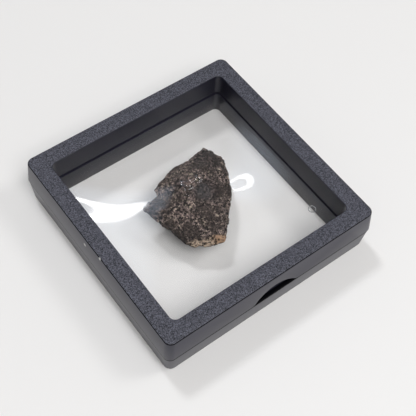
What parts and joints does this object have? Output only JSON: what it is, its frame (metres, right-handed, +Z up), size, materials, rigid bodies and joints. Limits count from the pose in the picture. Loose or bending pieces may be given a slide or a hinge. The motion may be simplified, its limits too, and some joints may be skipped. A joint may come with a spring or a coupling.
{
  "type": "chondrite meteorite",
  "caption": "Chondrite fragment with dark crust held between two clear elastic films in a square black hinged plastic display frame",
  "frame": {"origin": "middle of the footprint on the surface it rests on, hinge knuckles included", "axes": "+Z is up through the frame's thickness; the thumb notch faces -Y and the hinge is on +Y, along X"},
  "size_m": [0.09, 0.0924, 0.02],
  "materials": {
    "shell": "satin side walls and a finely textured top face",
    "film": "clear glossy elastic film",
    "chondrite": "rough dark crust with tan flecks and one broken rusty face"
  },
  "bodies": {
    "base": {"lower_frame": "shell", "lower_membrane": "film", "meteorite": "chondrite"},
    "lid": {"upper_frame": "shell", "upper_membrane": "film"}
  },
  "joints": [
    {"name": "lid_hinge", "type": "hinge", "parent": "base", "child": "lid", "pos_m": [0, 0.0441, 0.01], "axis": [-1, 0, 0], "range_deg": [0, 180]}
  ]
}
